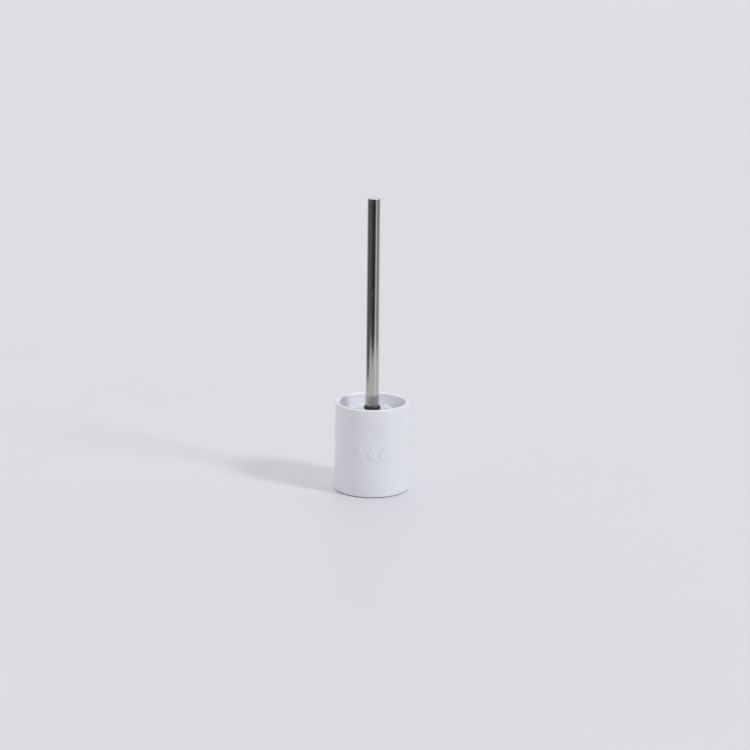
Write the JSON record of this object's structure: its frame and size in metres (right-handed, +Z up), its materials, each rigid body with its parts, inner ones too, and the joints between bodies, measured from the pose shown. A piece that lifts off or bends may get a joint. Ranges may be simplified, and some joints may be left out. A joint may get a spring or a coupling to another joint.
{
  "type": "toilet brush holder",
  "caption": "Straight round ceramic cup with a toilet brush standing in it; the brush has a plain steel tube handle, lifts straight out, and its head unscrews.",
  "frame": {"origin": "on the floor under the middle of the cup, at the underside of the four pads", "axes": "+Z up along the cup and the handle; the raised drops on the cup face -Y, the front; +X to the right seen from the front"},
  "size_m": [0.1, 0.1008, 0.398],
  "materials": {
    "cup_glaze": "satin",
    "pad_rubber": "matte",
    "polished_steel": "polished",
    "gloss_black": "gloss",
    "plug_black": "satin",
    "bristle": "satin"
  },
  "bodies": {
    "holder": {"holder_cup": "cup_glaze", "foot_pad_1": "pad_rubber", "foot_pad_2": "pad_rubber", "foot_pad_3": "pad_rubber", "foot_pad_4": "pad_rubber"},
    "brush_head": {"brush_core": "gloss_black", "tuft_row1_1": "bristle", "tuft_row1_2": "bristle", "tuft_row1_3": "bristle", "tuft_row1_4": "bristle", "tuft_row1_5": "bristle", "tuft_row1_6": "bristle", "tuft_row1_7": "bristle", "tuft_row1_8": "bristle", "tuft_row1_9": "bristle", "tuft_row2_1": "bristle", "tuft_row2_2": "bristle", "tuft_row2_3": "bristle", "tuft_row2_4": "bristle", "tuft_row2_5": "bristle", "tuft_row2_6": "bristle", "tuft_row2_7": "bristle", "tuft_row2_8": "bristle", "tuft_row2_9": "bristle", "tuft_row3_1": "bristle", "tuft_row3_2": "bristle", "tuft_row3_3": "bristle", "tuft_row3_4": "bristle", "tuft_row3_5": "bristle", "tuft_row3_6": "bristle", "tuft_row3_7": "bristle", "tuft_row3_8": "bristle", "tuft_row3_9": "bristle", "tuft_row4_1": "bristle", "tuft_row4_2": "bristle", "tuft_row4_3": "bristle", "tuft_row4_4": "bristle", "tuft_row4_5": "bristle", "tuft_row4_6": "bristle", "tuft_row4_7": "bristle", "tuft_row4_8": "bristle", "tuft_row4_9": "bristle", "tuft_row5_1": "bristle", "tuft_row5_2": "bristle", "tuft_row5_3": "bristle", "tuft_row5_4": "bristle", "tuft_row5_5": "bristle", "tuft_row5_6": "bristle", "tuft_row5_7": "bristle", "tuft_row5_8": "bristle", "tuft_row5_9": "bristle", "tuft_nose_1": "bristle", "tuft_nose_2": "bristle", "tuft_nose_3": "bristle", "tuft_nose_4": "bristle", "tuft_tip": "bristle"},
    "neck": {"neck_ring": "gloss_black"},
    "handle": {"handle_plug": "plug_black", "handle_tube": "polished_steel", "handle_cap": "polished_steel"}
  },
  "joints": [
    {"name": "brush_lift", "type": "slide", "parent": "holder", "child": "brush_head", "axis": [0, 0, 1], "range_m": [0, 0.125]},
    {"name": "neck_rise", "type": "slide", "parent": "brush_head", "child": "neck", "axis": [0, 0, 1], "range_m": [0, 0.0128]},
    {"name": "handle_unscrew", "type": "hinge", "parent": "neck", "child": "handle", "pos_m": [0, 0, 0.1096], "axis": [0, 0, 1], "range_deg": [0, 1530]}
  ],
  "couplings": [
    {"joint": "neck_rise", "follows": "handle_unscrew", "m_per_rad": 0.00047746}
  ]
}
